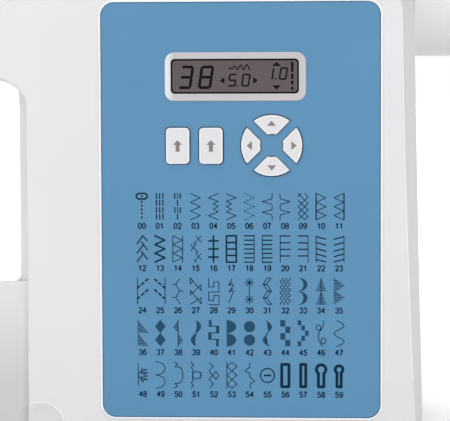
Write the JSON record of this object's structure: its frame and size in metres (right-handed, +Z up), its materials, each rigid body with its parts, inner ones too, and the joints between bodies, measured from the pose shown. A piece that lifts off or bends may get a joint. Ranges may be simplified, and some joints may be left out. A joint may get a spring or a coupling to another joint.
{
  "type": "sewing machine",
  "caption": "White computerised household sewing machine with a blue stitch-chart panel, display and keys, free arm, accessory tray, hand wheel and working needle drive.",
  "frame": {"origin": "on the table under the middle of the machine's outer box", "axes": "+X towards the hand wheel, -Y towards the person sewing, +Z up"},
  "size_m": [0.434, 0.184, 0.292],
  "materials": {
    "casing_white": "satin",
    "wheel_grey": "satin",
    "panel_blue": "satin",
    "key_white": "satin",
    "bezel_white": "gloss",
    "display_glass": "gloss",
    "board_green": "satin",
    "dark_plastic": "matte",
    "black_rubber": "matte",
    "cast_frame": "as cast",
    "bright_steel": "ground",
    "polished_chrome": "polished",
    "lever_dark": "satin",
    "bearing_brass": "machined",
    "motor_grey": "satin",
    "clear_plastic": "gloss"
  },
  "bodies": {
    "machine_body": {"front_cover": "casing_white", "rear_cover": "casing_white", "face_cover": "casing_white", "base_plate": "dark_plastic", "free_arm_cover": "casing_white", "rubber_feet": "black_rubber", "cover_screws": "bright_steel", "lamp_lens": "clear_plastic", "control_panel": "panel_blue", "display_bezel": "bezel_white", "display_lens": "display_glass", "circuit_boards": "board_green", "tension_unit": "bright_steel", "thread_guides": "polished_chrome", "spool_pin": "lever_dark", "main_frame": "cast_frame", "shaft_bushes": "bearing_brass", "drive_belts": "black_rubber", "motor": "motor_grey", "needle_plate": "polished_chrome", "bobbin_case": "dark_plastic", "power_inlet": "dark_plastic"},
    "drive": {"hand_wheel": "wheel_grey", "main_shaft": "bright_steel", "shaft_pulleys": "bright_steel", "needle_crank": "bright_steel"},
    "lower_drive": {"lower_shaft": "bright_steel"},
    "motor_rotor": {"motor_pulley": "dark_plastic"},
    "hook": {"hook": "bright_steel"},
    "connecting_rod": {"connecting_rod": "bright_steel"},
    "bobbin": {"bobbin": "clear_plastic"},
    "needle_swing": {"needle_bar_frame": "bright_steel"},
    "needle_bar": {"needle_bar": "polished_chrome", "needle": "polished_chrome"},
    "take_up_lever": {"take_up_lever": "polished_chrome"},
    "presser_lever": {"presser_lever": "lever_dark"},
    "presser": {"presser_bar": "polished_chrome"},
    "presser_foot": {"presser_foot": "polished_chrome"},
    "drop_feed_lever": {"drop_feed_lever": "lever_dark"},
    "feed_lift": {"feed_carrier": "bright_steel"},
    "feed_dog": {"feed_dog": "polished_chrome"},
    "bobbin_cover": {"bobbin_cover": "clear_plastic"},
    "accessory_tray": {"accessory_tray": "casing_white"},
    "tray_lid": {"tray_lid": "casing_white"},
    "carrying_handle": {"carrying_handle": "casing_white"},
    "tension_dial": {"tension_dial": "wheel_grey"},
    "winder_lever": {"winder_lever": "bright_steel"},
    "winder_spindle": {"winder_spindle": "bright_steel"},
    "spool_cap": {"spool_cap": "wheel_grey"},
    "speed_slider": {"speed_slider": "wheel_grey"},
    "power_switch": {"power_switch": "dark_plastic"},
    "pattern_tens_key": {"pattern_tens_key": "key_white"},
    "pattern_units_key": {"pattern_units_key": "key_white"},
    "width_up_key": {"width_up_key": "key_white"},
    "length_up_key": {"length_up_key": "key_white"},
    "width_down_key": {"width_down_key": "key_white"},
    "length_down_key": {"length_down_key": "key_white"},
    "reverse_key": {"reverse_key": "key_white"},
    "needle_key": {"needle_key": "key_white"},
    "start_key": {"start_key": "key_white"}
  },
  "joints": [
    {"name": "hand_wheel_turn", "type": "hinge", "parent": "machine_body", "child": "drive", "pos_m": [0, -0.007, 0.241], "axis": [1, 0, 0], "continuous": true},
    {"name": "lower_shaft_turn", "type": "hinge", "parent": "machine_body", "child": "lower_drive", "pos_m": [0, -0.007, 0.05], "axis": [1, 0, 0], "continuous": true},
    {"name": "motor_turn", "type": "hinge", "parent": "machine_body", "child": "motor_rotor", "pos_m": [0.1556, 0.0536, 0.063], "axis": [1, 0, 0], "continuous": true},
    {"name": "hook_turn", "type": "hinge", "parent": "machine_body", "child": "hook", "pos_m": [-0.179, -0.024, 0.0614], "axis": [0, 0, 1], "continuous": true},
    {"name": "connecting_rod_turn", "type": "hinge", "parent": "drive", "child": "connecting_rod", "pos_m": [-0.165, -0.007, 0.256], "axis": [1, 0, 0], "continuous": true},
    {"name": "bobbin_turn", "type": "hinge", "parent": "machine_body", "child": "bobbin", "pos_m": [-0.179, -0.024, 0.0614], "axis": [0, 0, 1], "continuous": true},
    {"name": "zigzag_swing", "type": "hinge", "parent": "machine_body", "child": "needle_swing", "pos_m": [-0.179, -0.007, 0.26], "axis": [0, 1, 0], "range_deg": [-0.84, 0.84]},
    {"name": "needle_stroke", "type": "slide", "parent": "needle_swing", "child": "needle_bar", "axis": [0, 0, 1], "range_m": [-0.03, 0]},
    {"name": "take_up_swing", "type": "hinge", "parent": "machine_body", "child": "take_up_lever", "pos_m": [-0.192, -0.019, 0.229], "axis": [1, 0, 0], "range_deg": [0, 50]},
    {"name": "presser_lever_lift", "type": "hinge", "parent": "machine_body", "child": "presser_lever", "pos_m": [-0.179, 0.0336, 0.176], "axis": [1, 0, 0], "range_deg": [0, 45]},
    {"name": "presser_lift", "type": "slide", "parent": "machine_body", "child": "presser", "axis": [0, 0, 1], "range_m": [0, 0.006]},
    {"name": "foot_tilt", "type": "hinge", "parent": "presser", "child": "presser_foot", "pos_m": [-0.179, 0.002, 0.0978], "axis": [1, 0, 0], "range_deg": [-12, 0]},
    {"name": "drop_feed_shift", "type": "slide", "parent": "machine_body", "child": "drop_feed_lever", "axis": [1, 0, 0], "range_m": [0, 0.014]},
    {"name": "feed_drop", "type": "slide", "parent": "machine_body", "child": "feed_lift", "axis": [0, 0, 1], "range_m": [-0.003, 0]},
    {"name": "feed_travel", "type": "slide", "parent": "feed_lift", "child": "feed_dog", "axis": [0, 1, 0], "range_m": [-0.002, 0.002]},
    {"name": "bobbin_cover_shift", "type": "slide", "parent": "machine_body", "child": "bobbin_cover", "axis": [0, -1, 0], "range_m": [0, 0.005]},
    {"name": "tray_pull", "type": "slide", "parent": "machine_body", "child": "accessory_tray", "axis": [-1, 0, 0], "range_m": [0, 0.12]},
    {"name": "tray_lid_open", "type": "hinge", "parent": "accessory_tray", "child": "tray_lid", "pos_m": [-0.153, -0.0778, 0.0888], "axis": [1, 0, 0], "range_deg": [0, 95]},
    {"name": "handle_raise", "type": "hinge", "parent": "machine_body", "child": "carrying_handle", "pos_m": [-0.0304, 0.015, 0.271], "axis": [1, 0, 0], "range_deg": [0, 90]},
    {"name": "tension_dial_turn", "type": "hinge", "parent": "machine_body", "child": "tension_dial", "pos_m": [-0.132, -0.058, 0.246], "axis": [1, 0, 0], "range_deg": [-140, 140]},
    {"name": "winder_shift", "type": "hinge", "parent": "machine_body", "child": "winder_lever", "pos_m": [0.1623, -0.025, 0.2742], "axis": [0, 0, 1], "range_deg": [-6, 6]},
    {"name": "winder_spin", "type": "hinge", "parent": "winder_lever", "child": "winder_spindle", "pos_m": [0.1623, -0.059, 0.2742], "axis": [0, 0, 1], "continuous": true},
    {"name": "spool_cap_pull", "type": "slide", "parent": "machine_body", "child": "spool_cap", "axis": [-1, 0, 0], "range_m": [0, 0.012]},
    {"name": "speed_shift", "type": "slide", "parent": "machine_body", "child": "speed_slider", "axis": [0, 0, 1], "range_m": [0, 0.018]},
    {"name": "power_rock", "type": "hinge", "parent": "machine_body", "child": "power_switch", "pos_m": [0.1879, 0.037, 0.066], "axis": [0, 0, 1], "range_deg": [-8, 8]},
    {"name": "pattern_tens_key_press", "type": "slide", "parent": "machine_body", "child": "pattern_tens_key", "axis": [0, 1, 0], "range_m": [0, 0.0012], "stiffness_N_per_m": 400},
    {"name": "pattern_units_key_press", "type": "slide", "parent": "machine_body", "child": "pattern_units_key", "axis": [0, 1, 0], "range_m": [0, 0.0012], "stiffness_N_per_m": 400},
    {"name": "width_up_key_press", "type": "slide", "parent": "machine_body", "child": "width_up_key", "axis": [0, 1, 0], "range_m": [0, 0.0012], "stiffness_N_per_m": 400},
    {"name": "length_up_key_press", "type": "slide", "parent": "machine_body", "child": "length_up_key", "axis": [0, 1, 0], "range_m": [0, 0.0012], "stiffness_N_per_m": 400},
    {"name": "width_down_key_press", "type": "slide", "parent": "machine_body", "child": "width_down_key", "axis": [0, 1, 0], "range_m": [0, 0.0012], "stiffness_N_per_m": 400},
    {"name": "length_down_key_press", "type": "slide", "parent": "machine_body", "child": "length_down_key", "axis": [0, 1, 0], "range_m": [0, 0.0012], "stiffness_N_per_m": 400},
    {"name": "reverse_key_press", "type": "slide", "parent": "machine_body", "child": "reverse_key", "axis": [0, 1, 0], "range_m": [0, 0.0015], "stiffness_N_per_m": 400},
    {"name": "needle_key_press", "type": "slide", "parent": "machine_body", "child": "needle_key", "axis": [0, 1, 0], "range_m": [0, 0.0015], "stiffness_N_per_m": 400},
    {"name": "start_key_press", "type": "slide", "parent": "machine_body", "child": "start_key", "axis": [0, 1, 0], "range_m": [0, 0.0015], "stiffness_N_per_m": 400}
  ],
  "couplings": [
    {"joint": "lower_shaft_turn", "follows": "hand_wheel_turn", "ratio": 1},
    {"joint": "motor_turn", "follows": "hand_wheel_turn", "ratio": 5},
    {"joint": "hook_turn", "follows": "hand_wheel_turn", "ratio": 2},
    {"joint": "connecting_rod_turn", "follows": "hand_wheel_turn", "ratio": -1},
    {"joint": "presser_lever_lift", "follows": "presser_lift", "rad_per_m": 130.25},
    {"joint": "feed_drop", "follows": "drop_feed_shift", "ratio": -0.2139}
  ]
}
